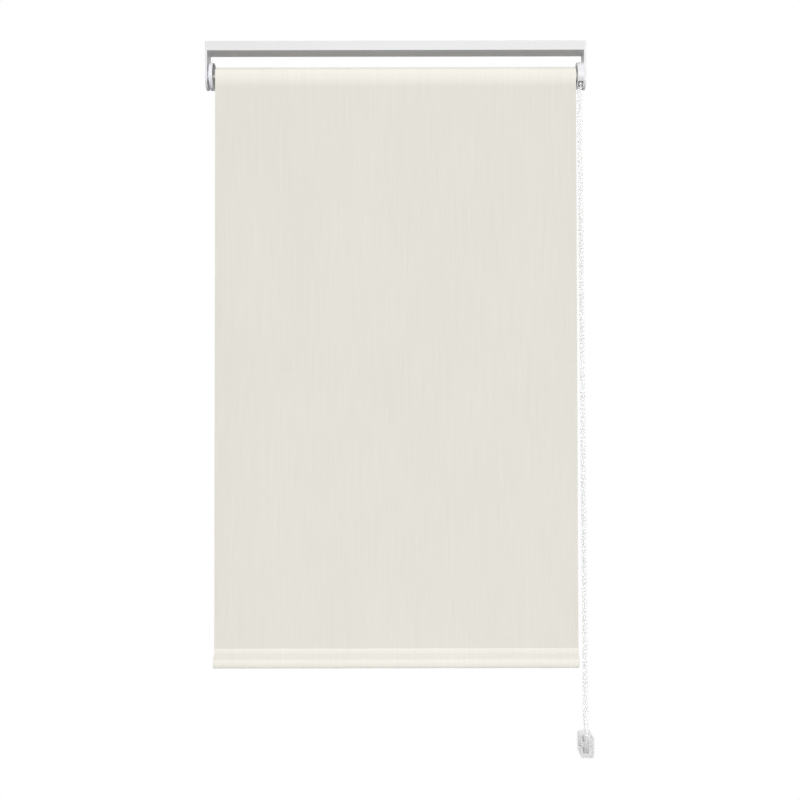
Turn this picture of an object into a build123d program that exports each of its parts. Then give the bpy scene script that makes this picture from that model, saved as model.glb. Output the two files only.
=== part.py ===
from build123d import *

import os
from math import cos, pi, radians, sin

# A small chain-operated roller blind: a head rail with two end brackets, a fabric roller between
# them, a weighted hem, and an endless bead chain that a clear tensioner keeps straight.
# Millimetres. The origin is midway between the two wall screws, in the plane of the wall.
# +X points right, -Y points away from the wall into the room, and +Z points up.

os.makedirs("parts", exist_ok=True)

# Head rail: an aluminium channel, open at the top between two inward lips
rail_length = 550.0
rail_depth = 30.0
rail_height = 14.0
rail_wall = 1.2
rail_edge_radius = 0.5
lip_width = 5.0
lip_drop = 1.0
wall_gap = 6.0
rail_top = rail_height / 2
rail_floor = rail_wall - rail_top
lip_underside = rail_top - lip_drop - rail_wall
channel_width = rail_depth - 2 * rail_wall
channel_mouth = channel_width - 2 * lip_width

# Roller axis
axis_y = -wall_gap - rail_depth / 2
axis_z = -41.0

# Rail clips, each with a cam that turns under the lips and locks the rail to the clip
clip_x = 215.0
clip_width = 44.0
clip_reach = 30.0
clip_thickness = 1.2
clip_tab_thickness = 1.5
clip_tab_width = 24.0
clip_tab_bottom = -4.6
clip_corner_radius = 3.0
fixing_hole_radius = 2.25
ceiling_hole_shift = 14.0
cam_shift = 7.0
cam_length = 25.6
cam_width = 15.0
cam_thickness = 1.4
cam_gap = 0.4
cam_collar_radius = 5.0
cam_neck_radius = 3.0
cam_head_radius = 4.5
cam_head_sink = 0.6
cam_play = 0.1
cam_slot_width = 1.0
cam_slot_depth = 1.2

# End brackets: plates that close the rail's ends and hang below it
plate_thickness = 3.0
plate_edge_radius = 0.6
plate_bottom = -61.5
tongue_length = 14.0
tongue_gap = 0.4
tongue_wall = 3.0
tongue_floor = 4.0
tongue_screw_radius = 1.5

# Screws: pan heads in the rail, countersunk heads in the brackets, all cross-headed
pan_head_radius = 2.8
pan_head_height = 2.0
pan_slot = (3.4, 0.8)
screw_head_radius = 2.9
screw_head_sink = 0.1
countersunk_slot = (3.2, 0.7)
slot_depth = 1.0
hole_gap = 0.05

# Idle end, on the left
step_radius = 9.0
step_length = 2.8
disc_radius = 20.2
disc_thickness = 5.5
disc_edge_radius = 0.8
disc_recess = 3.0
disc_land = 1.2
liner_thickness = 0.7
liner_sink = 0.1
liner_gap = 0.05
spigot_radius = 3.4
spigot_short = 0.2
disc_screw_radius = 1.25
disc_screw_shift = 6.5
disc_screw_length = 7.0

# Sprung idle pin: it slides in the idle plug, and its collar and spring run in the plug's cavity
pin_radius = 2.15
pin_clearance = 0.05
pin_grip = 7.0
pin_end_room = 0.3
pin_travel = 7.6
pin_chamfer = 0.5
pin_collar = 2.0
pin_collar_gap = 0.2
pin_tail = 12.0
pin_tail_radius = 1.2
spring_radius = 2.35
spring_wire = 0.4
spring_pitch = 1.5
spring_length = 12.0
cavity_radius = 3.5
cavity_inset = 5.5
cavity_spare = 2.0

# Roller tube, its plugs and the fabric wound on it
fabric_width = 527.0
fabric_thickness = 0.45
tube_radius = 11.0
tube_wall = 0.8
key_width = 2.0
key_height = 1.2
roll_radius = 12.2
plug_gap = 0.05
plug_collar = 0.8
idle_plug_length = 32.5
drive_plug_length = 35.5
keyway_gap = 0.15
lightening_radius = 1.7
lightening_circle = 6.6
lightening_count = 5

# Chain drive, on the right
housing_radius = 19.5
housing_width = 9.6
housing_wall = 1.4
housing_end = 1.2
drive_peg_radius = 1.5
drive_peg_shift = 9.0
drive_screw_radius = 1.5
drive_screw_length = 15.0
mouth_half_angle = 52.0
cover_edge_radius = 0.6
cover_plate_radius = 15.0
cover_plate_thickness = 0.5
lug_circle = 16.9
lug_radius = 0.9
lug_length = 2.0
core_radius = 5.0
core_length = 41.8
running_gap = 0.06
sprocket_width = 6.6
sprocket_radius = 13.4
sprocket_edge_radius = 0.3
hub_radius = 7.6
hub_length = 16.9
hub_wall = 1.0
hub_shoulder = 3.0
rib_height = 1.0
rib_width = 2.0
rib_length = 10.0
rib_start = 2.0
rib_root = 0.1
rib_count = 4
bearing_length = 18.0

# Wrap springs: two close-wound coils on the drive's fixed core
wire_radius = 0.5
wire_pitch = 0.95
wire_turns = 6

# Bead chain: 4.5 mm beads every 6 mm, twelve of them round the sprocket
bead_diameter = 4.5
bead_pitch = 6.0
beads_round = 12
chain_radius = beads_round * bead_pitch / (2 * pi)
groove_radius = 2.5
notch_radius = 1.8

# Chain tensioner, a clear box with a pulley, screwed to the wall
box_width = 20.0
box_height = 31.5
box_wall = 1.4
box_back = 2.0
box_front = -35.6
box_corner = 4.0
box_cover = 1.6
pulley_z = -1019.0
tensioner_shift = 5.0
pulley_pin_radius = 2.0
box_screw_radius = 1.7
box_screw_x = 6.8
box_screw_drop = 9.5
cover_lip_wall = 1.0
cover_lip_depth = 3.0
cover_lip_gap = 0.05
cover_round = 0.8
pulley_hub_radius = 4.0
pulley_end_gap = 0.3
pin_end_gap = 0.2

# Fabric panel and hem
panel_y = axis_y - roll_radius - 0.3 - fabric_thickness / 2
hem_top = -877.0
hem_bottom = -905.4
pocket_height = 17.4
pocket_depth = 8.5
bar_gap = 0.05
bar_wall = 1.0
cap_thickness = 1.0
cap_overhang = 0.1
cap_edge_radius = 0.5
cap_plug_length = 12.0

# Places along the roller, from the brackets inwards
rail_end = rail_length / 2
outer_face = rail_end + plate_thickness
fabric_end = fabric_width / 2
disc_back = -rail_end + step_length
disc_face = disc_back + disc_thickness
housing_face = rail_end - housing_width
chain_x = housing_face + housing_width / 2
tensioner_x = chain_x + tensioner_shift
cavity_start = cavity_inset - fabric_end
cavity_length = pin_collar + spring_length + pin_travel + cavity_spare
tongue_x = rail_end - tongue_length / 2
roller_axis = Axis((0, axis_y, axis_z), (1, 0, 0))

LOW = (Align.CENTER, Align.CENTER, Align.MIN)
TOP = (Align.CENTER, Align.CENTER, Align.MAX)


def across(x):
    """The plane across the roller at x, centred on its axis: its own x is +Y and its own y is +Z."""
    return Plane(origin=(x, axis_y, axis_z), x_dir=(0, 1, 0), z_dir=(1, 0, 0))


def along(x):
    """The plane that holds the roller's axis, centred on it at x: its own x is +X and its own y is +Z."""
    return Plane(origin=(x, axis_y, axis_z), x_dir=(1, 0, 0), z_dir=(0, -1, 0))


def along_x(x, y, z, towards=1):
    """A place at (x, y, z) whose own z points along +X, or along -X if towards is -1."""
    return Location((x, y, z), (0, 90 * towards, 0))


def save(builder, name):
    """Label a finished sub-part and write it to its own file."""
    builder.part.label = name
    export_step(builder.part, f"parts/{name}.step")


# ---------------------------------------------------------------- head rail
with BuildPart() as head_rail:
    with BuildSketch(Plane.YZ.offset(-rail_end)):
        with Locations((axis_y, 0)):
            Rectangle(rail_depth, rail_height)
        with Locations((axis_y, rail_floor)):
            hollow = lip_underside - rail_floor
            Rectangle(channel_width, hollow, align=(Align.CENTER, Align.MIN), mode=Mode.SUBTRACT)
        with Locations((axis_y, rail_top)):
            over_lips = (Align.CENTER, Align.MAX)
            Rectangle(channel_width, lip_drop, align=over_lips, mode=Mode.SUBTRACT)
            Rectangle(channel_mouth, 2 * lip_drop + rail_wall, align=over_lips, mode=Mode.SUBTRACT)
    extrude(amount=rail_length)
    fillet(head_rail.edges().filter_by(Axis.X).group_by(Axis.Y)[0], rail_edge_radius)
    with Locations((-tongue_x, axis_y, rail_floor), (tongue_x, axis_y, rail_floor)):
        Hole(tongue_screw_radius + hole_gap, depth=rail_wall)
save(head_rail, "head_rail")

# ---------------------------------------------------------------- rail clips and their cams
cam_top = lip_underside - cam_gap
clip_top = rail_top + clip_thickness
head_floor = clip_top - cam_head_sink

for side, name in ((-1, "left"), (1, "right")):
    middle_x = side * clip_x
    cam_x = middle_x - side * cam_shift

    with BuildPart() as rail_clip:
        with BuildSketch(Plane.XY.offset(rail_top)):
            with Locations((middle_x, 0)):
                Rectangle(clip_width, clip_reach, align=(Align.CENTER, Align.MAX))
        extrude(amount=clip_thickness)
        fillet(rail_clip.edges().filter_by(Axis.Z).group_by(Axis.Y)[0], clip_corner_radius)
        with BuildSketch(Plane.XZ):
            with Locations((middle_x, clip_top)):
                Rectangle(clip_tab_width, clip_top - clip_tab_bottom, align=(Align.CENTER, Align.MAX))
        extrude(amount=clip_tab_thickness)
        fillet(rail_clip.edges().filter_by(Axis.Y).group_by(Axis.Z)[0], clip_corner_radius)
        with Locations(Location((middle_x, -clip_tab_thickness, 0), (90, 0, 0))):
            Hole(fixing_hole_radius, depth=clip_tab_thickness)
        with Locations((middle_x + side * ceiling_hole_shift, axis_y, clip_top)):
            Hole(fixing_hole_radius, depth=clip_thickness)
        with Locations((cam_x, axis_y, clip_top)):
            CounterBoreHole(
                cam_neck_radius + running_gap,
                cam_head_radius + running_gap,
                cam_head_sink,
                depth=clip_thickness,
            )
    save(rail_clip, f"{name}_rail_clip")

    with BuildPart() as clip_cam:
        with BuildSketch(Plane.XY.offset(cam_top - cam_thickness)):
            with Locations((cam_x, axis_y)):
                Circle(cam_length / 2)
                Rectangle(cam_width, cam_length, mode=Mode.INTERSECT)
        extrude(amount=cam_thickness)
        with Locations((cam_x, axis_y, cam_top)):
            Cylinder(cam_collar_radius, rail_top - cam_play - cam_top, align=LOW)
            Cylinder(cam_neck_radius, clip_top - cam_play - cam_top, align=LOW)
        with Locations((cam_x, axis_y, head_floor + cam_play / 2)):
            Cylinder(cam_head_radius, cam_head_sink - 1.5 * cam_play, align=LOW)
        with Locations((cam_x, axis_y, clip_top)):
            Box(2 * cam_neck_radius, cam_slot_width, 2 * cam_slot_depth, mode=Mode.SUBTRACT)
    save(clip_cam, f"{name}_clip_cam")

# ---------------------------------------------------------------- end brackets
tongue_low = rail_floor + tongue_gap / 2
tongue_high = lip_underside - tongue_gap
plate_round = rail_depth / 2
disc_screw_heights = (axis_z - disc_screw_shift, axis_z + disc_screw_shift)
drive_peg_heights = (axis_z - drive_peg_shift, axis_z + drive_peg_shift)
disc_screw_heads = [along_x(-outer_face, axis_y, z, -1) for z in disc_screw_heights]
drive_screw_head = along_x(outer_face, axis_y, axis_z)
drive_pegs = [along_x(outer_face, axis_y, z) for z in drive_peg_heights]

for side, name in ((-1, "left"), (1, "right")):
    with BuildPart() as bracket:
        with BuildSketch(Plane.YZ.offset(side * rail_end)):
            with Locations((axis_y, rail_top)):
                straight = rail_top - plate_bottom - plate_round
                Rectangle(rail_depth, straight, align=(Align.CENTER, Align.MAX))
            with Locations((axis_y, plate_bottom + plate_round)):
                Circle(plate_round)
        extrude(amount=side * plate_thickness)
        outline = bracket.edges().group_by(Axis.X)[0 if side < 0 else -1]
        fillet(outline, plate_edge_radius)
        with BuildSketch(Plane.YZ.offset(side * rail_end)):
            with Locations((axis_y, tongue_low)):
                tongue_height = tongue_high - tongue_low
                Rectangle(channel_width - tongue_gap, tongue_height, align=(Align.CENTER, Align.MIN))
        extrude(amount=-side * tongue_length)
        with BuildSketch(Plane.XY.offset(tongue_high)):
            with Locations((side * tongue_x, axis_y)):
                Rectangle(tongue_length - 2 * tongue_wall, channel_width - 2 * tongue_wall)
        extrude(amount=tongue_low + tongue_floor - tongue_high, mode=Mode.SUBTRACT)
        with Locations((side * tongue_x, axis_y, tongue_low + tongue_floor)):
            Hole(tongue_screw_radius + hole_gap, depth=tongue_floor)
        if side < 0:
            with BuildSketch(across(-rail_end)):
                Circle(spigot_radius + hole_gap)
            extrude(amount=-plate_thickness, mode=Mode.SUBTRACT)
            with Locations(*disc_screw_heads):
                CounterSinkHole(disc_screw_radius + 0.1, screw_head_radius + 0.1, depth=plate_thickness)
        else:
            with Locations(drive_screw_head):
                CounterSinkHole(drive_screw_radius + 0.1, screw_head_radius + 0.1, depth=plate_thickness)
            with Locations(*drive_pegs):
                Hole(drive_peg_radius + hole_gap, depth=plate_thickness)
    save(bracket, f"{name}_bracket")

# Screws down through each bracket's tongue into the rail's floor
with BuildPart() as bracket_screws:
    screw_seat = tongue_low + tongue_floor
    head_top = screw_seat + pan_head_height
    with Locations((-tongue_x, axis_y, screw_seat), (tongue_x, axis_y, screw_seat)):
        Cylinder(pan_head_radius, pan_head_height, align=LOW)
        Cylinder(tongue_screw_radius, screw_seat + rail_top - spigot_short, align=TOP)
    with Locations((-tongue_x, axis_y, head_top), (tongue_x, axis_y, head_top)):
        Box(pan_slot[0], pan_slot[1], 2 * slot_depth, mode=Mode.SUBTRACT)
        Box(pan_slot[1], pan_slot[0], 2 * slot_depth, mode=Mode.SUBTRACT)
save(bracket_screws, "bracket_screws")

# ---------------------------------------------------------------- idle end
pin_bore = pin_radius + pin_clearance

with BuildPart() as idle_disc:
    with BuildSketch(across(disc_back)):
        Circle(disc_radius)
    extrude(amount=disc_thickness)
    fillet(idle_disc.edges(), disc_edge_radius)
    with BuildSketch(across(-rail_end)):
        Circle(step_radius)
    extrude(amount=step_length)
    with BuildSketch(across(-rail_end)):
        Circle(spigot_radius)
    extrude(amount=spigot_short - plate_thickness)
    with BuildSketch(across(disc_face)):
        Circle(disc_radius - disc_land)
    extrude(amount=-disc_recess, mode=Mode.SUBTRACT)
    with BuildSketch(across(disc_face)):
        Circle(pin_bore)
    extrude(amount=-pin_grip - pin_end_room, mode=Mode.SUBTRACT)
    with Locations(*[along_x(-rail_end, axis_y, z, -1) for z in disc_screw_heights]):
        Hole(disc_screw_radius + hole_gap, depth=disc_screw_length - plate_thickness + 0.5)
save(idle_disc, "idle_disc")

# A dark cup set into the disc's face, round the pin
liner_radius = disc_radius - disc_land - liner_gap
liner_floor = disc_face - disc_recess

with BuildPart() as idle_disc_liner:
    with BuildSketch(across(liner_floor)):
        Circle(liner_radius)
    extrude(amount=disc_recess - liner_sink)
    with BuildSketch(across(liner_floor + liner_thickness)):
        Circle(liner_radius - liner_thickness)
    extrude(amount=disc_recess, mode=Mode.SUBTRACT)
    with BuildSketch(across(liner_floor)):
        Circle(pin_bore + liner_gap)
    extrude(amount=liner_thickness, mode=Mode.SUBTRACT)
save(idle_disc_liner, "idle_disc_liner")


def countersunk_screw(places, radius, length):
    """Put cross-headed countersunk screws in the open part, each place with its z out of the head."""
    with Locations(*[place * Pos(0, 0, -screw_head_sink) for place in places]):
        Cone(radius, screw_head_radius, screw_head_radius - radius, align=TOP)
        Cylinder(radius, length, align=TOP)
    with Locations(*places):
        Box(countersunk_slot[0], countersunk_slot[1], 2 * slot_depth, mode=Mode.SUBTRACT)
        Box(countersunk_slot[1], countersunk_slot[0], 2 * slot_depth, mode=Mode.SUBTRACT)


with BuildPart() as idle_disc_screws:
    countersunk_screw(disc_screw_heads, disc_screw_radius, disc_screw_length)
save(idle_disc_screws, "idle_disc_screws")

# The plug in the tube's left end, which holds the sprung pin
plug_radius = tube_radius - tube_wall - plug_gap
keyway_width = key_width + 2 * keyway_gap
keyway_height = 2 * key_height + 0.4

with BuildPart() as idle_plug:
    with BuildSketch(across(-fabric_end - plug_collar)):
        Circle(tube_radius)
    extrude(amount=plug_collar)
    with BuildSketch(across(-fabric_end)):
        Circle(plug_radius)
    extrude(amount=idle_plug_length)
    with BuildSketch(across(-fabric_end)):
        with Locations((0, -plug_radius)):
            Rectangle(keyway_width, keyway_height)
    extrude(amount=idle_plug_length, mode=Mode.SUBTRACT)
    with BuildSketch(across(-fabric_end - plug_collar)):
        Circle(pin_bore)
    extrude(amount=cavity_start + fabric_end + plug_collar, mode=Mode.SUBTRACT)
    with BuildSketch(across(cavity_start)):
        Circle(cavity_radius)
    extrude(amount=cavity_length, mode=Mode.SUBTRACT)
    with BuildSketch(across(-fabric_end + idle_plug_length)):
        with PolarLocations(lightening_circle, lightening_count, start_angle=90):
            Circle(lightening_radius)
    extrude(amount=-idle_plug_length / 2, mode=Mode.SUBTRACT)
save(idle_plug, "idle_plug")

pin_tip = disc_face - pin_grip
collar_start = cavity_start + 0.1
spring_start = collar_start + pin_collar + spring_wire + 0.05

with BuildPart() as idle_pin:
    with BuildSketch(across(pin_tip)):
        Circle(pin_radius)
    extrude(amount=collar_start + pin_collar / 2 - pin_tip)
    chamfer(idle_pin.edges().group_by(Axis.X)[0], pin_chamfer)
    with BuildSketch(across(collar_start)):
        Circle(cavity_radius - pin_collar_gap)
    extrude(amount=pin_collar)
    with BuildSketch(across(collar_start + pin_collar)):
        Circle(pin_tail_radius)
    extrude(amount=pin_tail)
save(idle_pin, "idle_pin")

with BuildPart() as pin_spring:
    with BuildLine() as coil:
        middle = (spring_start, axis_y, axis_z)
        Helix(spring_pitch, spring_length, spring_radius, center=middle, direction=(1, 0, 0))
    with BuildSketch(Plane(origin=coil.line @ 0, z_dir=coil.line % 0)):
        Circle(spring_wire)
    sweep(is_frenet=True)
save(pin_spring, "pin_spring")

# ---------------------------------------------------------------- roller tube and the fabric on it
with BuildPart() as roller_tube:
    with BuildSketch(across(-fabric_end)):
        Circle(tube_radius)
        Circle(tube_radius - tube_wall, mode=Mode.SUBTRACT)
        with Locations((0, tube_wall / 2 - tube_radius)):
            Rectangle(key_width, key_height + tube_wall / 2, align=(Align.CENTER, Align.MIN))
    extrude(amount=fabric_width)
save(roller_tube, "roller_tube")

with BuildPart() as fabric_roll:
    with BuildSketch(across(-fabric_end)):
        Circle(roll_radius)
        Circle(tube_radius, mode=Mode.SUBTRACT)
    extrude(amount=fabric_width)
save(fabric_roll, "fabric_roll")

# ---------------------------------------------------------------- chain drive
back_inside = rail_end - housing_end
cover_inside = housing_face + housing_end

with BuildPart() as drive_housing:
    with BuildSketch(across(back_inside)):
        Circle(housing_radius)
    extrude(amount=housing_end)
    with BuildSketch(across(cover_inside)):
        Circle(housing_radius)
        Circle(housing_radius - housing_wall, mode=Mode.SUBTRACT)
        with BuildLine():
            reach = 2 * housing_radius
            slant = (reach * sin(radians(mouth_half_angle)), -reach * cos(radians(mouth_half_angle)))
            below = (slant[0], -reach)
            Polyline((0, 0), slant, below, (-below[0], below[1]), (-slant[0], slant[1]), close=True)
        make_face(mode=Mode.SUBTRACT)
    extrude(amount=back_inside - cover_inside)
    with BuildSketch(across(back_inside - core_length)):
        Circle(core_radius)
    extrude(amount=core_length)
    with BuildSketch(across(rail_end)):
        with Locations((0, -drive_peg_shift), (0, drive_peg_shift)):
            Circle(drive_peg_radius)
    extrude(amount=plate_thickness - 0.5)
    with Locations(along_x(rail_end, axis_y, axis_z)):
        Hole(drive_screw_radius + hole_gap, depth=drive_screw_length)
save(drive_housing, "drive_housing")

with BuildPart() as drive_screw:
    countersunk_screw([drive_screw_head], drive_screw_radius, drive_screw_length)
save(drive_screw, "drive_screw")

cover_hole = hub_radius + rib_height + 0.4
lug_places = [(side * lug_circle * cos(pi / 6), lug_circle * sin(pi / 6)) for side in (-1, 1)]

with BuildPart() as drive_cover:
    with BuildSketch(across(housing_face)):
        Circle(housing_radius)
    extrude(amount=housing_end)
    fillet(drive_cover.edges().group_by(Axis.X)[0], cover_edge_radius)
    with BuildSketch(across(housing_face)):
        Circle(cover_plate_radius)
    extrude(amount=liner_sink + cover_plate_thickness, mode=Mode.SUBTRACT)
    with BuildSketch(across(housing_face)):
        Circle(cover_hole)
    extrude(amount=housing_end, mode=Mode.SUBTRACT)
    with BuildSketch(across(cover_inside)):
        with Locations(*lug_places):
            Circle(lug_radius)
    extrude(amount=lug_length)
save(drive_cover, "drive_cover")

# A dark ring set into the cover's face, round the hub
with BuildPart() as drive_cover_plate:
    with BuildSketch(across(housing_face + liner_sink)):
        Circle(cover_plate_radius - liner_gap)
        Circle(cover_hole, mode=Mode.SUBTRACT)
    extrude(amount=cover_plate_thickness)
save(drive_cover_plate, "drive_cover_plate")

# The sprocket's hub reaches through the cover into the tube, and four ribs drive the plug there
sprocket_face = chain_x - sprocket_width / 2
hub_end = sprocket_face - hub_length
spring_room = hub_length - hub_shoulder

with BuildPart() as chain_sprocket:
    with BuildSketch(across(sprocket_face)):
        Circle(sprocket_radius)
    extrude(amount=sprocket_width)
    fillet(chain_sprocket.edges(), sprocket_edge_radius)
    with BuildSketch(along(chain_x)):
        with Locations((0, chain_radius)):
            Circle(groove_radius)
            Rectangle(2 * groove_radius, 2 * groove_radius, align=(Align.CENTER, Align.MIN))
    revolve(axis=roller_axis, mode=Mode.SUBTRACT)
    with BuildSketch(across(sprocket_face)):
        with PolarLocations(sprocket_radius, beads_round, start_angle=180 / beads_round):
            Circle(notch_radius)
    extrude(amount=sprocket_width, mode=Mode.SUBTRACT)
    with BuildSketch(across(hub_end)):
        Circle(hub_radius)
    extrude(amount=hub_length)
    with BuildSketch(across(hub_end + rib_start)):
        with PolarLocations(hub_radius + rib_height / 2 - rib_root, rib_count):
            Rectangle(rib_height + 2 * rib_root, rib_width)
    extrude(amount=rib_length)
    with BuildSketch(across(hub_end)):
        Circle(core_radius + running_gap)
    extrude(amount=hub_length + sprocket_width, mode=Mode.SUBTRACT)
    with BuildSketch(across(hub_end)):
        Circle(hub_radius - hub_wall)
    extrude(amount=spring_room, mode=Mode.SUBTRACT)
save(chain_sprocket, "chain_sprocket")

# Two close-wound wrap springs grip the fixed core until the chain turns the hub round them
wire_height = core_radius + running_gap + wire_radius
coil_starts = (1.3, spring_room / 2 + 1.1)
wire_places = [start + turn * wire_pitch for start in coil_starts for turn in range(wire_turns)]

with BuildPart() as wrap_springs:
    with BuildSketch(along(hub_end)):
        with Locations(*[(place, wire_height) for place in wire_places]):
            Circle(wire_radius)
    revolve(axis=roller_axis)
save(wrap_springs, "wrap_springs")

with BuildPart() as drive_plug:
    with BuildSketch(across(fabric_end - drive_plug_length)):
        Circle(plug_radius)
        with Locations((0, -plug_radius)):
            Rectangle(keyway_width, keyway_height, mode=Mode.SUBTRACT)
    extrude(amount=drive_plug_length)
    with BuildSketch(across(fabric_end)):
        Circle(tube_radius)
    extrude(amount=plug_collar)
    with BuildSketch(across(fabric_end + plug_collar)):
        Circle(hub_radius + 2 * hole_gap)
        with PolarLocations(hub_radius + rib_height / 2, rib_count):
            Rectangle(rib_height + 0.6, rib_width + 0.4)
    extrude(amount=bearing_length - drive_plug_length - plug_collar, mode=Mode.SUBTRACT)
    with BuildSketch(across(fabric_end - drive_plug_length)):
        Circle(core_radius + 1.3 * running_gap)
    extrude(amount=bearing_length, mode=Mode.SUBTRACT)
save(drive_plug, "drive_plug")

# ---------------------------------------------------------------- bead chain
# One endless loop, modelled as a smooth tube: over the sprocket, down both strands and round the
# tensioner's pulley. Its plane leans a little, because the tensioner stands further out than the
# sprocket. Each corner of the route is (distance from the wall, height).
chain_lean = tensioner_shift / (pulley_z - axis_z)
chain_plane = Plane(origin=(chain_x - chain_lean * axis_z, 0, 0), x_dir=(0, 1, 0), z_dir=(1, 0, -chain_lean))
chain_route = [
    (-21.15, -29.54),
    (-25.75, -29.54),
    (-32.46, -36.25),
    (-32.46, -1023.75),
    (-25.75, -1030.46),
    (-16.25, -1030.46),
    (-9.54, -1023.75),
    (-9.54, -36.25),
    (-16.25, -29.54),
    (-20.85, -29.54),
]
bend_radii = [11.0] + [11.4] * 6 + [11.0]
print("bead chain bend radii, mm:", bend_radii)

with BuildPart() as bead_chain:
    with BuildLine(chain_plane) as route:
        FilletPolyline(*chain_route, radius=bend_radii)
    with BuildSketch(Plane(origin=route.line @ 0, z_dir=route.line % 0)):
        Circle(bead_diameter / 2)
    sweep()
route_length = sum(edge.length for edge in route.edges())
tube_volume = pi * (bead_diameter / 2) ** 2 * route_length
print("bead chain length, mm:", round(route_length, 1))
print("bead chain volume over section times length:", round(bead_chain.part.volume / tube_volume, 4))
save(bead_chain, "bead_chain")

# ---------------------------------------------------------------- chain tensioner
box_plane = Plane(origin=(tensioner_x, 0, pulley_z), x_dir=(1, 0, 0), z_dir=(0, -1, 0))
box_screw_z = pulley_z - box_screw_drop
box_screw_places = [(tensioner_x + side * box_screw_x, -box_back, box_screw_z) for side in (-1, 1)]
mouth_width = box_width - 2 * box_wall - 2 * box_corner
inner_width = box_width - 2 * box_wall
inner_height = box_height - 2 * box_wall

with BuildPart() as tensioner_base:
    with BuildSketch(box_plane):
        RectangleRounded(box_width, box_height, box_corner)
    extrude(amount=box_back)
    with BuildSketch(box_plane.offset(box_back)):
        RectangleRounded(box_width, box_height, box_corner)
        RectangleRounded(inner_width, inner_height, box_corner - box_wall, mode=Mode.SUBTRACT)
        with Locations((0, box_height / 2)):
            Rectangle(mouth_width, 4 * box_wall, mode=Mode.SUBTRACT)
    extrude(amount=-box_front - box_back)
    with Locations(*[Location(place, (90, 0, 0)) for place in box_screw_places]):
        Hole(box_screw_radius, depth=box_back)
    with Locations(along_x(tensioner_x + box_width / 2, axis_y, pulley_z)):
        Hole(pulley_pin_radius + 0.02, depth=box_width)
save(tensioner_base, "tensioner_base")

with BuildPart() as tensioner_cover:
    with BuildSketch(box_plane.offset(-box_front)):
        RectangleRounded(box_width, box_height, box_corner)
    extrude(amount=box_cover)
    fillet(tensioner_cover.edges().group_by(Axis.Y)[0], cover_round)
    with BuildSketch(box_plane.offset(-box_front - cover_lip_depth)):
        lip_width_out = inner_width - 2 * cover_lip_gap
        lip_height_out = inner_height - 2 * cover_lip_gap
        hole_width = inner_width - 2 * cover_lip_wall
        hole_height = inner_height - 2 * cover_lip_wall
        RectangleRounded(lip_width_out, lip_height_out, box_corner - box_wall)
        RectangleRounded(hole_width, hole_height, cover_lip_wall + 0.5, mode=Mode.SUBTRACT)
        with Locations((0, box_height / 2)):
            Rectangle(mouth_width, 6 * box_wall, mode=Mode.SUBTRACT)
    extrude(amount=cover_lip_depth)
save(tensioner_cover, "tensioner_cover")

pulley_plane = Plane(origin=(tensioner_x, axis_y, pulley_z), x_dir=(0, 1, 0), z_dir=(1, 0, 0))
groove_plane = Plane(origin=(tensioner_x, axis_y, pulley_z), x_dir=(1, 0, 0), z_dir=(0, -1, 0))

with BuildPart() as tensioner_pulley:
    with BuildSketch(pulley_plane):
        Circle(sprocket_radius)
    extrude(amount=sprocket_width / 2, both=True)
    with BuildSketch(groove_plane):
        with Locations((0, chain_radius)):
            Circle(groove_radius)
            Rectangle(2 * groove_radius, 2 * groove_radius, align=(Align.CENTER, Align.MIN))
    revolve(axis=Axis((0, axis_y, pulley_z), (1, 0, 0)), mode=Mode.SUBTRACT)
    with BuildSketch(pulley_plane):
        Circle(pulley_hub_radius)
    extrude(amount=inner_width / 2 - pulley_end_gap, both=True)
    with BuildSketch(pulley_plane):
        Circle(pulley_pin_radius + running_gap)
    extrude(amount=inner_width, both=True, mode=Mode.SUBTRACT)
save(tensioner_pulley, "tensioner_pulley")

with BuildPart() as pulley_pin:
    with BuildSketch(pulley_plane):
        Circle(pulley_pin_radius)
    extrude(amount=box_width / 2 - pin_end_gap, both=True)
    chamfer(pulley_pin.edges(), pin_end_gap)
save(pulley_pin, "pulley_pin")

# ---------------------------------------------------------------- fabric panel and hem
pocket_z = hem_bottom + pocket_height / 2
pocket_top = hem_bottom + pocket_height
cloth = fabric_thickness


def hem_plane(x):
    """The plane across the hem at x, centred on the pocket."""
    return Plane(origin=(x, panel_y, pocket_z), x_dir=(0, 1, 0), z_dir=(1, 0, 0))


with BuildPart() as fabric_panel:
    with BuildSketch(Plane.YZ.offset(-fabric_end)):
        with Locations((panel_y, hem_top)):
            Rectangle(cloth, axis_z - hem_top, align=(Align.CENTER, Align.MIN))
    extrude(amount=fabric_width)
save(fabric_panel, "fabric_panel")

with BuildPart() as hem_pocket:
    with BuildSketch(hem_plane(-fabric_end)):
        Ellipse(pocket_depth / 2, pocket_height / 2)
        with Locations((0, pocket_height / 2 - cloth)):
            Rectangle(2 * cloth, hem_top - pocket_top + cloth, align=(Align.CENTER, Align.MIN))
        Ellipse(pocket_depth / 2 - cloth, pocket_height / 2 - cloth, mode=Mode.SUBTRACT)
    extrude(amount=fabric_width)
save(hem_pocket, "hem_pocket")

bar_depth = pocket_depth / 2 - cloth - bar_gap
bar_height = pocket_height / 2 - cloth - bar_gap
plug_half_depth = bar_depth - bar_wall - bar_gap
plug_half_height = bar_height - bar_wall - bar_gap

with BuildPart() as bottom_bar:
    with BuildSketch(hem_plane(-fabric_end)):
        Ellipse(bar_depth, bar_height)
        Ellipse(bar_depth - bar_wall, bar_height - bar_wall, mode=Mode.SUBTRACT)
    extrude(amount=fabric_width)
save(bottom_bar, "bottom_bar")

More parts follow.
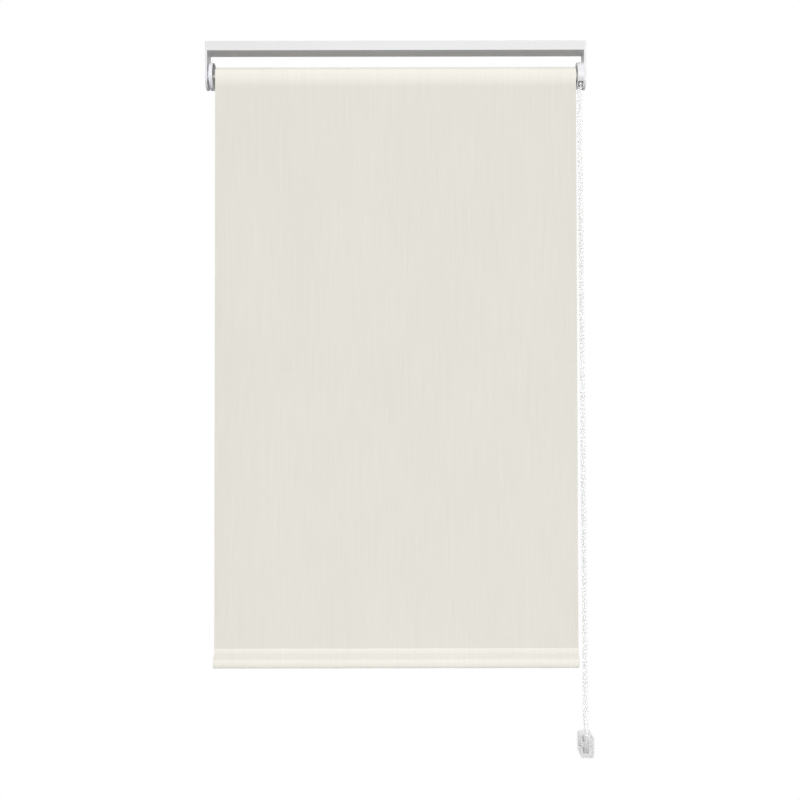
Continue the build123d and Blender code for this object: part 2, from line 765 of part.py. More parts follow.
for side, name in ((-1, "left"), (1, "right")):
    with BuildPart() as hem_cap:
        with BuildSketch(hem_plane(side * fabric_end)):
            Ellipse(pocket_depth / 2 + cap_overhang, pocket_height / 2 + cap_overhang)
        extrude(amount=side * cap_thickness)
        fillet(hem_cap.edges().group_by(Axis.X)[0 if side < 0 else -1], cap_edge_radius)
        with BuildSketch(hem_plane(side * fabric_end)):
            Ellipse(plug_half_depth, plug_half_height)
        extrude(amount=-side * cap_plug_length)
    save(hem_cap, f"{name}_hem_cap")
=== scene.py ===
"""The looks of a small chain-operated roller blind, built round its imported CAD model.

Metres, in the CAD model's frame: the wall is the plane Y = 0, -Y points into the room, +Z is up.
"""

import math

import bmesh
import bpy
import numpy as np
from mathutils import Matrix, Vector


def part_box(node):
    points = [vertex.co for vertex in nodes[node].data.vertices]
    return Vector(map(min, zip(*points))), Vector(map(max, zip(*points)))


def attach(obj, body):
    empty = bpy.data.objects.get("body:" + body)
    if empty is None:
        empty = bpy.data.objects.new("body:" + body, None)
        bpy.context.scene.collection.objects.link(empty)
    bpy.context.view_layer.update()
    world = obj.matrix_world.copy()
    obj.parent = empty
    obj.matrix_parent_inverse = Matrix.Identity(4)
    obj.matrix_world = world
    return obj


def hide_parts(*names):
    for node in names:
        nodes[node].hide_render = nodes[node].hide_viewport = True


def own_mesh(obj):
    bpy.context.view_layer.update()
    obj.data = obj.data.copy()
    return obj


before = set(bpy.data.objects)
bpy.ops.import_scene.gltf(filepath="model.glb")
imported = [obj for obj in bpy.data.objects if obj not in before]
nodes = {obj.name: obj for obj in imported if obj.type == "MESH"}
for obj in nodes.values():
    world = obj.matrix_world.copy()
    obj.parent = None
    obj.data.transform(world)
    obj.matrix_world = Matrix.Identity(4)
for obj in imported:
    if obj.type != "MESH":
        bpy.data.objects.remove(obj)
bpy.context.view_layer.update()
scene = bpy.context.scene
scene.view_settings.view_transform = "Standard"
scene.cycles.use_denoising = True

# ------------------------------------------------------------------ places, read from the CAD model
roll_low, roll_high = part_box("fabric_roll")
panel_low, panel_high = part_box("fabric_panel")
pocket_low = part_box("hem_pocket")[0]
tube_low, tube_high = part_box("roller_tube")

AXIS_Y = (roll_low.y + roll_high.y) / 2
AXIS_Z = (roll_low.z + roll_high.z) / 2
HALF_WIDTH = panel_high.x
PANEL_Y = (panel_low.y + panel_high.y) / 2
DROP = AXIS_Z - panel_low.z
WRAP_RADIUS = AXIS_Y - PANEL_Y
TUBE_RADIUS = (tube_high.z - tube_low.z) / 2

# the cloth's thickness, the height of the hem's weld strip, and how far below its top the loose cloth ends
CLOTH = 0.00042
WELD_TOP = panel_low.z
WELD_HEIGHT = 0.006
LOOSE_DOWN = 0.018
# how far below the roller's axis the panel is paler: close on the wound cloth, and further down as a painted
# highlight
LAP_DOWN = 0.022

# ------------------------------------------------------------------ camera
camera_data = bpy.data.cameras.new("camera")
camera_data.lens = 50.0
camera_data.sensor_width = 36.0
camera_data.shift_x = -0.0259
camera = bpy.data.objects.new("camera", camera_data)
camera.location = (0.03585, -1.647, -0.5478)
camera.rotation_euler = (math.radians(91.07), math.radians(0.1), 0.0)
scene.collection.objects.link(camera)
scene.camera = camera


# ------------------------------------------------------------------ mesh helpers
def new_object(name, verts, faces):
    """A linked object with that mesh, its faces smooth and turned outwards."""
    mesh = bpy.data.meshes.new(name)
    mesh.from_pydata([tuple(v) for v in verts], [], faces)
    mesh.update()
    work = bmesh.new()
    work.from_mesh(mesh)
    bmesh.ops.recalc_face_normals(work, faces=work.faces)
    work.to_mesh(mesh)
    work.free()
    mesh.polygons.foreach_set("use_smooth", [True] * len(mesh.polygons))
    made = bpy.data.objects.new(name, mesh)
    scene.collection.objects.link(made)
    return made


def sharpen(obj, degrees):
    """Keep edges sharper than this angle crisp on a smooth mesh."""
    obj.data.set_sharp_from_angle(angle=math.radians(degrees))


def stations(count):
    """Evenly spaced places across the cloth's width."""
    return np.linspace(-HALF_WIDTH, HALF_WIDTH, count)


def lengths_along(points):
    """How far along a line of points each of them is."""
    run = [0.0]
    for a, b in zip(points, points[1:]):
        run.append(run[-1] + math.dist(a, b))
    return run


def tube_faces(rings, sides):
    """The faces between rings of points, each ring closed, one after the other."""
    faces = []
    for ring in range(rings - 1):
        a, b = ring * sides, (ring + 1) * sides
        for i in range(sides):
            j = (i + 1) % sides
            faces.append((a + i, a + j, b + j, b + i))
    return faces


def strip(outline, places, move):
    """A closed cross-section outline of (y, z) points swept along x through these places.

    move(x, y, z, i) shifts each point, where i is the point's place in the outline.
    """
    verts = []
    for x in places:
        for i, (y, z) in enumerate(outline):
            verts.append(move(x, y, z, i))
    return verts, tube_faces(len(places), len(outline))


def thick_line(points, half):
    """The two sides of a line of (y, z) points, each half a thickness away from it."""
    pts = np.array(points, float)
    ahead = np.vstack([pts[1:], pts[-1:]])
    behind = np.vstack([pts[:1], pts[:-1]])
    along = ahead - behind
    along /= np.linalg.norm(along, axis=1)[:, None]
    normal = np.stack([along[:, 1], -along[:, 0]], axis=1)
    return pts + half * normal, pts - half * normal


def set_cloth_places(obj, places):
    """Store each point's place on the flat cloth, which the weave of wound cloth follows."""
    layer = obj.data.attributes.new("cloth", "FLOAT_VECTOR", "POINT")
    layer.data.foreach_set("vector", np.array(places, np.float32))


def cloth_strip(name, points, across, move, cloth=None):
    """A sheet of cloth that follows a line of (y, z) points, the same all along x but for move.

    cloth(x, k) gives the place on the flat cloth of the line's point k.
    """
    front, back = thick_line(points, CLOTH / 2)
    n = len(points)
    outline = [tuple(p) for p in front] + [tuple(p) for p in back[::-1]]
    count = len(outline)
    verts, faces = strip(outline, across, move)
    last = (len(across) - 1) * count
    for k in range(n - 1):
        faces.append((k, k + 1, count - 2 - k, count - 1 - k))
        faces.append((last + k, last + k + 1, last + count - 2 - k, last + count - 1 - k))
    made = new_object(name, verts, faces)
    if cloth:
        places = []
        for x in across:
            for i in range(count):
                k = i if i < n else count - 1 - i
                places.extend(cloth(x, k))
        set_cloth_places(made, places)
    return made


# ------------------------------------------------------------------ material helpers
def new_material(name):
    """A material with one Principled shader: the material, its tree and that shader."""
    made = bpy.data.materials.new(name)
    made.use_nodes = True
    tree = made.node_tree
    return made, tree, tree.nodes["Principled BSDF"]


def node(tree, kind, values=None, **settings):
    """A new node of this kind, with its settings and the values of its inputs."""
    made = tree.nodes.new(kind)
    for key, value in settings.items():
        setattr(made, key, value)
    for key, value in (values or {}).items():
        made.inputs[key].default_value = value
    return made


def noise(tree, vector, scale, detail=3.0, rough=0.5, stretch=None):
    """A noise texture over these coordinates, with features of about 1 / scale, stretched if asked."""
    if stretch:
        mapping = node(tree, "ShaderNodeMapping", {"Scale": stretch})
        tree.links.new(vector, mapping.inputs["Vector"])
        vector = mapping.outputs["Vector"]
    made = node(tree, "ShaderNodeTexNoise", {"Scale": scale, "Detail": detail, "Roughness": rough})
    tree.links.new(vector, made.inputs["Vector"])
    return made.outputs["Fac"]


def remap(tree, value, low, high, to_low, to_high, smooth=False):
    """The value carried from one range to another, and held at its ends."""
    made = node(tree, "ShaderNodeMapRange", interpolation_type="SMOOTHSTEP" if smooth else "LINEAR")
    for key, v in zip(("From Min", "From Max", "To Min", "To Max"), (low, high, to_low, to_high)):
        made.inputs[key].default_value = v
    tree.links.new(value, made.inputs["Value"])
    return made.outputs["Result"]


def from_noise(tree, value, to_low, to_high):
    """A noise's usual values, 0.3 to 0.7, spread over another range."""
    return remap(tree, value, 0.3, 0.7, to_low, to_high)


def calc(tree, operation, a, b=None, clamp=False):
    """One step of arithmetic on sockets or numbers."""
    made = node(tree, "ShaderNodeMath", operation=operation, use_clamp=clamp)
    for i, v in enumerate((a, b)):
        if v is None:
            continue
        if isinstance(v, (int, float)):
            made.inputs[i].default_value = v
        else:
            tree.links.new(v, made.inputs[i])
    return made.outputs["Value"]


def mix_colour(tree, factor, a, b, blend="MIX"):
    """Two colours, each a socket or a tuple, mixed by a factor."""
    made = node(tree, "ShaderNodeMix", data_type="RGBA", blend_type=blend)
    if isinstance(factor, (int, float)):
        made.inputs[0].default_value = factor
    else:
        tree.links.new(factor, made.inputs[0])
    # the Mix node's sockets 6 and 7 are its two colours, and its output 2 the mixed one
    for socket, v in ((made.inputs[6], a), (made.inputs[7], b)):
        if isinstance(v, tuple):
            socket.default_value = (*v, 1.0)
        else:
            tree.links.new(v, socket)
    return made.outputs[2]


def bump(tree, shader, height, distance, before=None):
    """A bump of this depth on the shader, over the one before it, if any."""
    made = node(tree, "ShaderNodeBump", {"Strength": 1.0, "Distance": distance})
    tree.links.new(height, made.inputs["Height"])
    if before is not None:
        tree.links.new(before, made.inputs["Normal"])
    tree.links.new(made.outputs["Normal"], shader.inputs["Normal"])
    return made.outputs["Normal"]


def object_space(tree):
    """The object's own coordinates, in metres."""
    return node(tree, "ShaderNodeTexCoord").outputs["Object"]


def plastic(name, base, rough=0.35, grain=0.00002, size=1600.0, spread=0.03, **sockets):
    """Moulded plastic: a fine moulded grain, faint flow marks in its colour, and uneven gloss."""
    made, tree, shader = new_material(name)
    where = object_space(tree)
    flow = noise(tree, where, 45.0, 2.0, stretch=(1.0, 1.0, 0.45))
    dark = tuple(c * (1 - spread) for c in base)
    colour = mix_colour(tree, from_noise(tree, flow, 0, 1), dark, base)
    tree.links.new(colour, shader.inputs["Base Color"])
    cloudy = noise(tree, where, 160.0, 3.0)
    tree.links.new(from_noise(tree, cloudy, rough - 0.05, rough + 0.06), shader.inputs["Roughness"])
    bump(tree, shader, noise(tree, where, size, 2.0), grain)
    for key, value in sockets.items():
        shader.inputs[key.replace("_", " ")].default_value = value
    return made


def powder_coat(name, base):
    """White powder coat: orange peel at about a millimetre, over a finer grain."""
    made, tree, shader = new_material(name)
    where = object_space(tree)
    patch = noise(tree, where, 14.0, 3.0, stretch=(0.35, 1.0, 1.0))
    dark = tuple(c * 0.975 for c in base)
    colour = mix_colour(tree, from_noise(tree, patch, 0, 1), dark, base)
    tree.links.new(colour, shader.inputs["Base Color"])
    peel = noise(tree, where, 900.0, 2.0)
    fine = noise(tree, where, 4200.0, 1.0)
    tree.links.new(from_noise(tree, peel, 0.36, 0.46), shader.inputs["Roughness"])
    first = bump(tree, shader, peel, 0.00005)
    bump(tree, shader, fine, 0.000012, before=first)
    shader.inputs["Specular IOR Level"].default_value = 0.35
    shader.inputs["Coat Weight"].default_value = 0.05
    shader.inputs["Coat Roughness"].default_value = 0.3
    return made


def metal(name, base, rough=0.32, drawn=(1.0, 1.0, 1.0), scale=900.0, mark=0.12):
    """Bare metal: fine marks along the way it was drawn or rolled."""
    made, tree, shader = new_material(name)
    where = object_space(tree)
    lines = noise(tree, where, scale, 4.0, 0.6, stretch=drawn)
    patch = noise(tree, where, 60.0, 2.0)
    dark = tuple(c * (1 - mark) for c in base)
    colour = mix_colour(tree, from_noise(tree, lines, 0, 1), dark, base)
    tree.links.new(colour, shader.inputs["Base Color"])
    scratched = from_noise(tree, lines, -0.05, 0.07)
    handled = from_noise(tree, patch, rough - 0.04, rough + 0.04)
    wear = calc(tree, "ADD", scratched, handled)
    tree.links.new(wear, shader.inputs["Roughness"])
    bump(tree, shader, lines, 0.00001)
    shader.inputs["Metallic"].default_value = 1.0
    return made


def clear_plastic(name, tint, rough=0.12):
    """Thin clear moulded plastic, each of whose faces veils a little, with faint ripples from the mould."""
    made, tree, shader = new_material(name)
    where = object_space(tree)
    ripple = noise(tree, where, 260.0, 2.0)
    cloudy = noise(tree, where, 700.0, 2.0)
    tree.links.new(from_noise(tree, cloudy, rough - 0.02, rough + 0.05), shader.inputs["Roughness"])
    bump(tree, shader, ripple, 0.00002)
    shader.inputs["Base Color"].default_value = (*tint, 1.0)
    tree.links.new(from_noise(tree, cloudy, 0.12, 0.2), shader.inputs["Alpha"])
    return made


# Cloth on its own is deeper in colour than cloth on cloth; the hem's loose cloth is darker, partly painted
# shade
SINGLE_CLOTH = (0.785, 0.76, 0.697)
# the paler colour of cloth on cloth also serves as a painted highlight on the panel's top, below the roller
DOUBLE_CLOTH_AND_HIGHLIGHT = (0.915, 0.887, 0.815)
LOOSE_CLOTH_AND_PAINTED_SHADE = (0.88, 0.885, 0.89)
# the weave's repeat across the cloth and down it
YARN_ACROSS = 0.0011
YARN_DOWN = 0.0009


def cloth_material(name, base, wound=False, lap_and_painted_highlight=None, loose=None):
    """Plain-woven blind cloth: uneven yarns both ways, longer slubs down the drop, and a fine weave.

    The pattern follows the object, or for wound cloth its "cloth" attribute. Over the lap's heights, (all,
    none), the cloth is paler: it lies close on more cloth at the top, and further down the paler band is a
    painted highlight. Between the loose cloth's heights, (top, bottom), it has nothing behind it and is
    deeper, and the darkening is also painted shade in the dip below the weld.
    """
    made, tree, shader = new_material(name)
    if wound:
        where = node(tree, "ShaderNodeAttribute", attribute_name="cloth").outputs["Vector"]
    else:
        where = object_space(tree)
    split = node(tree, "ShaderNodeSeparateXYZ")
    tree.links.new(where, split.inputs["Vector"])
    warp = noise(tree, where, 1.0, 3.0, 0.55, stretch=(620.0, 1.0, 14.0))
    slub = noise(tree, where, 1.0, 2.0, 0.5, stretch=(260.0, 1.0, 9.0))
    weft = noise(tree, where, 1.0, 3.0, 0.55, stretch=(22.0, 1.0, 700.0))
    cloud = noise(tree, where, 1.0, 2.0, 0.5, stretch=(9.0, 1.0, 5.0))
    tone = from_noise(tree, warp, -0.015, 0.015)
    for pattern, depth in ((slub, 0.014), (weft, 0.008), (cloud, 0.010)):
        tone = calc(tree, "ADD", tone, from_noise(tree, pattern, -depth, depth))
    # a level of 0.5 is the base colour, 0 is half of it, and 1 is half as much again
    level = calc(tree, "ADD", tone, 0.5, clamp=True)
    # painted highlight, partly cloth on cloth: the panel's top below the roller's axis is mixed towards the
    # paler colour
    if lap_and_painted_highlight:
        share = remap(tree, split.outputs["Z"], lap_and_painted_highlight[1], lap_and_painted_highlight[0], 0.0, 1.0, True)
        base = mix_colour(tree, share, base, DOUBLE_CLOTH_AND_HIGHLIGHT)
        deep = mix_colour(tree, 1.0, base, (0.5, 0.5, 0.5), "MULTIPLY")
        pale = mix_colour(tree, 1.0, base, (1.5, 1.5, 1.5), "MULTIPLY")
    else:
        deep, pale = tuple(c * 0.5 for c in base), tuple(c * 1.5 for c in base)
    colour = mix_colour(tree, level, deep, pale)
    # painted shade, partly the deeper single cloth: the hem's loose cloth under the weld is darkened
    if loose:
        top, bottom = loose
        top_fade, bottom_fade = 0.002, 0.004
        below_top = remap(tree, split.outputs["Z"], top, top - top_fade, 0.0, 1.0, True)
        above_bottom = remap(tree, split.outputs["Z"], bottom, bottom + bottom_fade, 0.0, 1.0, True)
        share = calc(tree, "MULTIPLY", below_top, above_bottom)
        shaded = mix_colour(tree, 1.0, colour, LOOSE_CLOTH_AND_PAINTED_SHADE, "MULTIPLY")
        colour = mix_colour(tree, share, colour, shaded)
    tree.links.new(colour, shader.inputs["Base Color"])
    over = calc(tree, "SINE", calc(tree, "MULTIPLY", split.outputs["X"], 2 * math.pi / YARN_ACROSS))
    under = calc(tree, "SINE", calc(tree, "MULTIPLY", split.outputs["Z"], 2 * math.pi / YARN_DOWN))
    weave = calc(tree, "MULTIPLY", over, under)
    height = calc(tree, "ADD", calc(tree, "MULTIPLY", weave, 0.35), calc(tree, "ADD", warp, slub))
    bump(tree, shader, height, 0.00006)
    shader.inputs["Roughness"].default_value = 0.85
    shader.inputs["Sheen Weight"].default_value = 0.1
    shader.inputs["Sheen Roughness"].default_value = 0.5
    shader.inputs["Specular IOR Level"].default_value = 0.25
    return made


white_rail = powder_coat("powder_coat", (0.82, 0.82, 0.822))
white_bracket = plastic("bracket_plastic", (0.85, 0.85, 0.865), 0.38, Coat_Weight=0.1)
white_disc = plastic("disc_plastic", (0.91, 0.91, 0.95), 0.33, Coat_Weight=0.15)
white_drive = plastic("drive_plastic", (0.88, 0.88, 0.90), 0.4, Coat_Weight=0.05)
nylon = plastic("nylon", (0.78, 0.78, 0.76), 0.5, 0.00003)
acetal = plastic("acetal", (0.94, 0.94, 0.935), 0.28)
cap_plastic = plastic("cap_plastic", (0.83, 0.815, 0.76), 0.42)
zinc = metal("zinc_plate", (0.70, 0.71, 0.73), 0.3, (1.0, 1.0, 1.0), 500.0)
spring_wire = metal("spring_wire", (0.5, 0.5, 0.52), 0.3, (0.1, 1.0, 1.0))
extruded = metal("extruded_aluminium", (0.78, 0.79, 0.8), 0.34, (0.02, 1.0, 1.0))
clear = clear_plastic("clear_plastic", (0.64, 0.645, 0.655))
# grey, darker than the white parts: painted shade on the idle disc's liner and the drive cover's plate, in
# the recesses beside the roll
painted_shade_nylon = plastic("painted_shade_nylon", (0.57, 0.57, 0.575), 0.5, 0.00003, spread=0.08)
# the panel's top below the roller is painted paler, a painted highlight fading down from the wound cloth
cloth_hanging = cloth_material("blind_cloth", SINGLE_CLOTH, lap_and_painted_highlight=(AXIS_Z, AXIS_Z - LAP_DOWN))
cloth_wound = cloth_material("blind_cloth_wound", DOUBLE_CLOTH_AND_HIGHLIGHT, wound=True)
# the hem's loose cloth below the weld is darkened, partly with painted shade
cloth_hem = cloth_material(
    "blind_cloth_hem",
    tuple(c * 0.975 for c in DOUBLE_CLOTH_AND_HIGHLIGHT),
    wound=True,
    loose=(WELD_TOP - WELD_HEIGHT, WELD_TOP - LOOSE_DOWN),
)

coats = {
    "head_rail": white_rail,
    "left_bracket": white_bracket,
    "right_bracket": white_bracket,
    "left_rail_clip": zinc,
    "right_rail_clip": zinc,
    "left_clip_cam": nylon,
    "right_clip_cam": nylon,
    "bracket_screws": zinc,
    "idle_disc": white_disc,
    "idle_disc_liner": painted_shade_nylon,
    "idle_disc_screws": zinc,
    "idle_plug": nylon,
    "idle_pin": acetal,
    "pin_spring": spring_wire,
    "roller_tube": extruded,
    "drive_housing": white_drive,
    "drive_screw": zinc,
    "drive_cover": white_drive,
    "drive_cover_plate": painted_shade_nylon,
    "chain_sprocket": acetal,
    "wrap_springs": spring_wire,
    "drive_plug": nylon,
    "tensioner_base": clear,
    "tensioner_cover": clear,
    "tensioner_pulley": acetal,
    "pulley_pin": acetal,
    "bottom_bar": extruded,
    "left_hem_cap": cap_plastic,
    "right_hem_cap": cap_plastic,
}
for cad_name, coat in coats.items():
    mesh = nodes[cad_name].data
    mesh.materials.clear()
    mesh.materials.append(coat)

# ------------------------------------------------------------------ bead chain
SPROCKET_X = 0.2702
PULLEY_X = 0.2752
BEAD_RADIUS = 0.00225
BEAD_COUNT = 338
CORD_RADIUS = 0.00065
CHAIN_ROUTE = [
    (SPROCKET_X, -0.02115, -0.02954),
    (SPROCKET_X, -0.02575, -0.02954),
    (SPROCKET_X, -0.03246, -0.03625),
    (SPROCKET_X, -0.03246, -0.0635),
    (PULLEY_X, -0.03246, -0.9965),
    (PULLEY_X, -0.03246, -1.02375),
    (PULLEY_X, -0.02575, -1.03046),
    (PULLEY_X, -0.01625, -1.03046),
    (PULLEY_X, -0.00954, -1.02375),
    (PULLEY_X, -0.00954, -0.9965),
    (SPROCKET_X, -0.00954, -0.0635),
    (SPROCKET_X, -0.00954, -0.03625),
    (SPROCKET_X, -0.01625, -0.02954),
    (SPROCKET_X, -0.02085, -0.02954),
]


def smooth_line(name, points):
    """Points along the NURBS curve with these control points, and the curve's length."""
    curve = bpy.data.curves.new(name, "CURVE")
    curve.dimensions = "3D"
    curve.resolution_u = 32
    spline = curve.splines.new("NURBS")
    spline.points.add(len(points) - 1)
    for target, place in zip(spline.points, points):
        target.co = (*place, 1.0)
    spline.order_u = 3
    spline.use_endpoint_u = True
    holder = bpy.data.objects.new(name, curve)
    scene.collection.objects.link(holder)
    bpy.context.view_layer.update()
    mesh = bpy.data.meshes.new_from_object(holder.evaluated_get(bpy.context.evaluated_depsgraph_get()))
    line = np.array([v.co for v in mesh.vertices], float)
    bpy.data.objects.remove(holder)
    bpy.data.meshes.remove(mesh)
    return line, float(np.linalg.norm(np.diff(line, axis=0), axis=1).sum())


def resample(line, distances):
    """The places and directions at these distances along a line of points."""
    reach = 1e-4
    steps = np.linalg.norm(np.diff(line, axis=0), axis=1)
    run = np.concatenate([[0.0], np.cumsum(steps)])
    places = np.stack([np.interp(distances, run, line[:, k]) for k in range(3)], axis=1)
    ahead = np.stack([np.interp(distances + reach, run, line[:, k]) for k in range(3)], axis=1)
    behind = np.stack([np.interp(distances - reach, run, line[:, k]) for k in range(3)], axis=1)
    along = ahead - behind
    return places, along / np.linalg.norm(along, axis=1)[:, None]


chain_line, chain_length = smooth_line("chain_route", CHAIN_ROUTE)


def bead_chain():
    """Moulded beads with a waist of cord between them, as one mesh along the chain's line."""
    sides = 12
    side_way = np.array([1.0, 0.0, 0.0])
    # one bead's profile as (distance along, radius), from one waist to the next
    half = chain_length / BEAD_COUNT / 2
    profile = [(-half, CORD_RADIUS)]
    for degrees in (-72, -54, -36, -18, 0, 18, 36, 54, 72):
        turn = math.radians(degrees)
        profile.append((BEAD_RADIUS * math.sin(turn), BEAD_RADIUS * math.cos(turn)))
    distances, radii = [], []
    for bead in range(BEAD_COUNT):
        middle = (2 * bead + 1) * half
        for along, radius in profile:
            distances.append(middle + along)
            radii.append(radius)
    distances.append(chain_length)
    radii.append(CORD_RADIUS)
    places, ways = resample(chain_line, np.array(distances))
    verts = []
    for place, way, radius in zip(places, ways, radii):
        up_way = np.cross(way, side_way)
        for s in range(sides):
            turn = 2 * math.pi * s / sides
            verts.append(place + radius * (math.cos(turn) * side_way + math.sin(turn) * up_way))
    faces = tube_faces(len(radii), sides)
    last = (len(radii) - 1) * sides
    faces.append(tuple(range(sides)))
    faces.append(tuple(last + s for s in range(sides)))
    return new_object("bead_chain_beads", verts, faces)


def bead_material():
    """Milky moulded beads."""
    made, tree, shader = new_material("bead_plastic")
    where = object_space(tree)
    flow = noise(tree, where, 420.0, 2.0)
    colour = mix_colour(tree, from_noise(tree, flow, 0, 1), (0.95, 0.95, 0.96), (0.985, 0.985, 0.985))
    tree.links.new(colour, shader.inputs["Base Color"])
    tree.links.new(from_noise(tree, flow, 0.14, 0.24), shader.inputs["Roughness"])
    bump(tree, shader, noise(tree, where, 2500.0, 1.0), 0.00001)
    shader.inputs["Transmission Weight"].default_value = 0.5
    shader.inputs["IOR"].default_value = 1.12
    return made


chain = bead_chain()
chain.data.materials.append(bead_material())
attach(chain, "chain")
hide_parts("bead_chain")

# ------------------------------------------------------------------ cloth wound on the roller
# a layer is the cloth and the air under it, and the innermost one stays clear of the tube
LAYER = 0.00047
TUBE_GAP = 0.00005
STEPS_PER_TURN = 72
WRAP_WAVE = 0.00007
wrap_turns = (WRAP_RADIUS - TUBE_RADIUS - CLOTH / 2 - TUBE_GAP) / LAYER
wrap_line = []
for step in range(int(wrap_turns * STEPS_PER_TURN) + 1):
    turn = step / STEPS_PER_TURN
    radius = WRAP_RADIUS - LAYER * turn
    angle = 2 * math.pi * turn
    wrap_line.append((AXIS_Y - radius * math.cos(angle), AXIS_Z + radius * math.sin(angle)))
wrap_run = lengths_along(wrap_line)


def wrap_move(x, y, z, i):
    """Slight unevenness of the winding along the roller, none at the line where the cloth leaves it."""
    count = len(wrap_line)
    k = i if i < count else 2 * count - 1 - i
    share = min(1.0, k / STEPS_PER_TURN * 3)
    wave = math.sin(31 * x + 0.4) * 0.5 + math.sin(73 * x + 2.1) * 0.3 + math.sin(12 * x + k * 0.05) * 0.4
    push = WRAP_WAVE * share * wave
    dy, dz = y - AXIS_Y, z - AXIS_Z
    length = math.hypot(dy, dz)
    return (x, y + push * dy / length, z + push * dz / length)


def wrap_place(x, k):
    """The place on the flat cloth, which goes on upwards from the roller's axis."""
    return (x, 0.0, AXIS_Z + wrap_run[k])


wrap = cloth_strip("fabric_wound", wrap_line, stations(49), wrap_move, wrap_place)
sharpen(wrap, 50)
wrap.data.materials.append(cloth_wound)
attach(wrap, "roller")
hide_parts("fabric_roll")

# ------------------------------------------------------------------ hanging panel
# Few, long rows: with 110 of them the clash list names the panel's contact with the wound cloth when the
# squash brings them together there. With 14 it doesn't, but the contact is the same
PANEL_ROWS = 14
PANEL_WAVE = 0.001
panel_line = [(PANEL_Y, AXIS_Z + (panel_low.z - AXIS_Z) * k / PANEL_ROWS) for k in range(PANEL_ROWS + 1)]


def panel_move(x, y, z, i):
    """Long shallow waves and a slight curl at the side edges, none at the roller or the hem."""
    down = (AXIS_Z - z) / DROP
    held = math.sin(math.pi * min(1.0, max(0.0, down))) ** 0.7 if 0 < down < 1 else 0.0
    wave = 0.35 * math.sin(17 * x + 1.2 * down + 0.3) + 0.2 * math.sin(29 * x - 2.0 * down)
    wave += 0.22 * math.sin(7.0 * down + 3 * x)
    edge = (abs(x) / HALF_WIDTH) ** 14
    return (x, y + PANEL_WAVE * held * (0.7 * wave + 0.7 * edge), z)


panel = cloth_strip("fabric_drop", panel_line, stations(73), panel_move)
sharpen(panel, 50)
panel.data.materials.append(cloth_hanging)

# ------------------------------------------------------------------ hem: the weld strip and the bar's pocket
# the pocket round the bar is an oval, this high and deep from its middle
POCKET_HALF = 0.0087
POCKET_DEEP = 0.00425
POCKET_Z = pocket_low.z + POCKET_HALF
POCKET_WAVE = 0.00013
WELD_WAVE = 0.00010


def hem_outline():
    """The hem's outer line, down the weld strip's front, round under the bar and up at the back."""
    front = [
        (-0.00024, WELD_TOP),
        (-0.00052, WELD_TOP - 0.0006),
        (-0.00060, WELD_TOP - 0.0016),
        (-0.00060, WELD_TOP - 0.0042),
        (-0.00054, WELD_TOP - 0.0054),
        (-0.00036, WELD_TOP - 0.0060),
        (-0.00034, WELD_TOP - 0.0064),
        (-0.00050, WELD_TOP - 0.0072),
    ]
    line = []
    for degrees in range(0, 181, 6):
        turn = math.radians(degrees)
        y = -POCKET_DEEP * math.sin(turn)
        z = POCKET_Z + POCKET_HALF * math.cos(turn)
        line.append((y, z))
    start = front[-1]

    def turns_under(k):
        """Whether the oval turns away at its point k from a straight line out of the weld."""
        (y, z), (next_y, next_z) = line[k], line[k + 1]
        return (y - start[0]) * (next_z - z) - (z - start[1]) * (next_y - y) > 0

    # the cloth runs straight from the weld to where it meets the bar
    tangent = next(k for k in range(1, len(line) - 1) if turns_under(k))
    end = line[tangent]
    bridge = [(start[0] + (end[0] - start[0]) * t, start[1] + (end[1] - start[1]) * t) for t in (0.33, 0.66)]
    half = front + bridge + line[tangent:]
    return half + [(-y, z) for y, z in half[-2::-1]]


hem_line = hem_outline()
hem_run = lengths_along(hem_line)


def hem_piece():
    """The closed hem, its outline swept across the width, with small ripples in the cloth."""
    across = stations(161)
    outer = [(PANEL_Y + y, z) for y, z in hem_line]
    pts = np.array(outer)
    along = np.vstack([pts[1:], pts[-1:]]) - np.vstack([pts[:1], pts[:-1]])
    along /= np.linalg.norm(along, axis=1)[:, None]
    inward = np.stack([-along[:, 1], along[:, 0]], axis=1)
    if inward[len(pts) // 2][1] < 0:
        inward = -inward
    verts = []
    n = len(outer)
    for x in across:
        wave = 0.5 * math.sin(61 * x + 0.7) + 0.35 * math.sin(143 * x + 1.9) + 0.25 * math.sin(271 * x)
        pull = 0.5 * math.sin(47 * x + 2.2) + 0.4 * math.sin(118 * x)
        for i, (y, z) in enumerate(outer):
            below = min(1.0, max(0.0, (WELD_TOP - WELD_HEIGHT - z) / WELD_HEIGHT))
            front = 1.0 if i < n / 2 else 0.6
            round_share = 0.4 + 0.6 * max(0.0, math.sin(math.pi * i / (n - 1)))
            push = POCKET_WAVE * below * front * wave * round_share
            lift = WELD_WAVE * pull * min(1.0, max(0.0, (WELD_TOP - z) / 0.001)) * (1.0 - below)
            verts.append((x, y - push * inward[i][0], z - push * inward[i][1] + lift))
    faces = tube_faces(len(across), n)
    last = (len(across) - 1) * n
    for i in range(n // 2):
        j = n - 1 - i
        if j - i > 1:
            quad = (i, i + 1, j - 1, j) if j - 1 > i + 1 else (i, i + 1, j)
            faces.append(quad)
            faces.append(tuple(last + q for q in quad))
    made = new_object("hem_cloth", verts, faces)
    places = []
    for x in across:
        for distance in hem_run:
            places.extend((x, 0.0, WELD_TOP - distance))
    set_cloth_places(made, places)
    return made


hem = hem_piece()
sharpen(hem, 60)
hem.data.materials.append(cloth_hem)
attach(hem, "hem")
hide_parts("hem_pocket")

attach(panel, "rail")
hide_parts("fabric_panel")
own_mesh(panel)

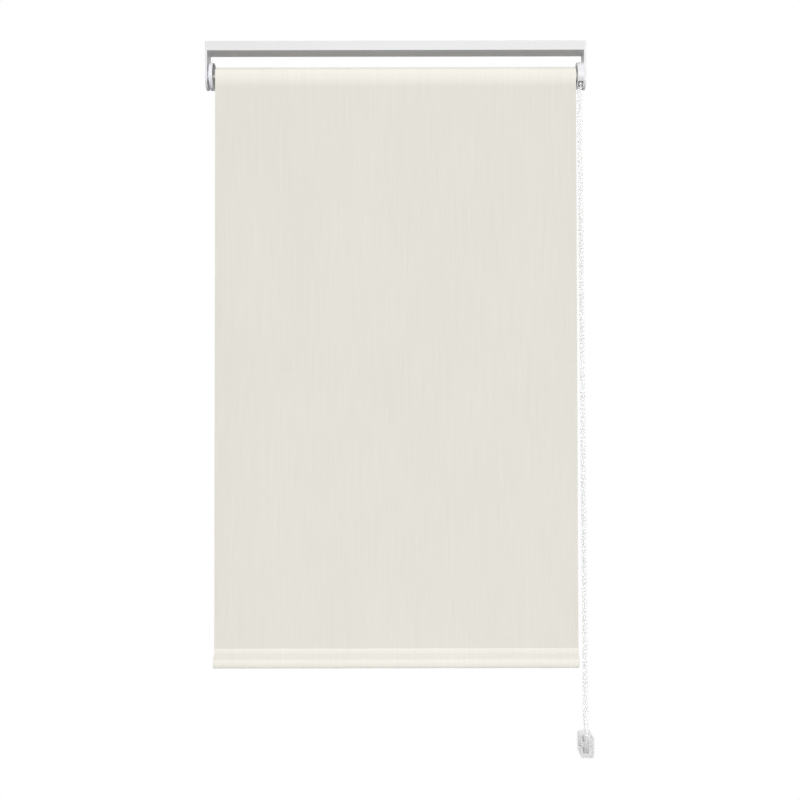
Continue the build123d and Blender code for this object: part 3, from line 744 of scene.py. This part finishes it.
# ------------------------------------------------------------------ floor, lights and world
FLOOR_Z = -1.7
FLOOR_RADIUS = 1.15
FADE_START, FADE_END = 0.45, 1.1
RINGS, SPOKES = 12, 64
floor_verts, floor_faces = [(0.0, 0.0, FLOOR_Z)], []
for ring in range(1, RINGS + 1):
    radius = FLOOR_RADIUS * ring / RINGS
    for spoke in range(SPOKES):
        turn = 2 * math.pi * spoke / SPOKES
        floor_verts.append((radius * math.cos(turn), radius * math.sin(turn), FLOOR_Z))
for spoke in range(SPOKES):
    after = (spoke + 1) % SPOKES
    floor_faces.append((0, 1 + spoke, 1 + after))
    for ring in range(RINGS - 1):
        a, b = 1 + ring * SPOKES, 1 + (ring + 1) * SPOKES
        floor_faces.append((a + spoke, b + spoke, b + after, a + after))
floor = new_object("floor", floor_verts, floor_faces)
floor_paint, floor_tree, floor_shader = new_material("floor_paint")
floor_split = node(floor_tree, "ShaderNodeSeparateXYZ")
floor_tree.links.new(object_space(floor_tree), floor_split.inputs["Vector"])
far_out = calc(
    floor_tree,
    "SQRT",
    calc(
        floor_tree,
        "ADD",
        calc(floor_tree, "POWER", floor_split.outputs["X"], 2.0),
        calc(floor_tree, "POWER", floor_split.outputs["Y"], 2.0),
    ),
)
faded = remap(floor_tree, far_out, FADE_START, FADE_END, 1.0, 0.0, True)
floor_tree.links.new(faded, floor_shader.inputs["Alpha"])
floor_shader.inputs["Base Color"].default_value = (0.75, 0.75, 0.75, 1.0)
floor_shader.inputs["Roughness"].default_value = 0.9
floor.data.materials.append(floor_paint)


def softbox(name, place, aim, size, energy):
    """A rectangular area light at place that faces aim."""
    data = bpy.data.lights.new(name, "AREA")
    data.shape = "RECTANGLE"
    data.size, data.size_y = size
    data.energy = energy
    made = bpy.data.objects.new(name, data)
    made.location = place
    made.rotation_euler = (Vector(aim) - Vector(place)).to_track_quat("-Z", "Y").to_euler()
    scene.collection.objects.link(made)
    return made


MIDDLE = (0.0, 0.0, -0.5)
softbox("key_light", (0.15, -4.2, -0.1), MIDDLE, (2.0, 2.0), 120.5)
softbox("back_light", (0.08, 3.4, 2.6), MIDDLE, (2.0, 2.0), 86.0)

# A white backdrop behind everything, also through the clear plastic and the beads, in a dimmer room that
# lights the object
world = bpy.data.worlds.new("studio")
world.use_nodes = True
scene.world = world
wt = world.node_tree
wt.nodes.clear()
seen = node(wt, "ShaderNodeBackground", {"Color": (1, 1, 1, 1), "Strength": 1.0})
lit = node(wt, "ShaderNodeBackground", {"Strength": 1.0})
direction = node(wt, "ShaderNodeTexCoord")
world_split = node(wt, "ShaderNodeSeparateXYZ")
wt.links.new(direction.outputs["Generated"], world_split.inputs["Vector"])
sky = remap(wt, world_split.outputs["Z"], -0.4, 0.6, 0.0, 1.0, True)
wt.links.new(mix_colour(wt, sky, (0.088, 0.088, 0.091), (0.64, 0.64, 0.64)), lit.inputs["Color"])
path = node(wt, "ShaderNodeLightPath")
choose = node(wt, "ShaderNodeMixShader")
output = node(wt, "ShaderNodeOutputWorld")
white_for = calc(wt, "MAXIMUM", path.outputs["Is Camera Ray"], path.outputs["Transmission Depth"], clamp=True)
wt.links.new(white_for, choose.inputs[0])
wt.links.new(lit.outputs[0], choose.inputs[1])
wt.links.new(seen.outputs[0], choose.inputs[2])
wt.links.new(choose.outputs[0], output.inputs["Surface"])
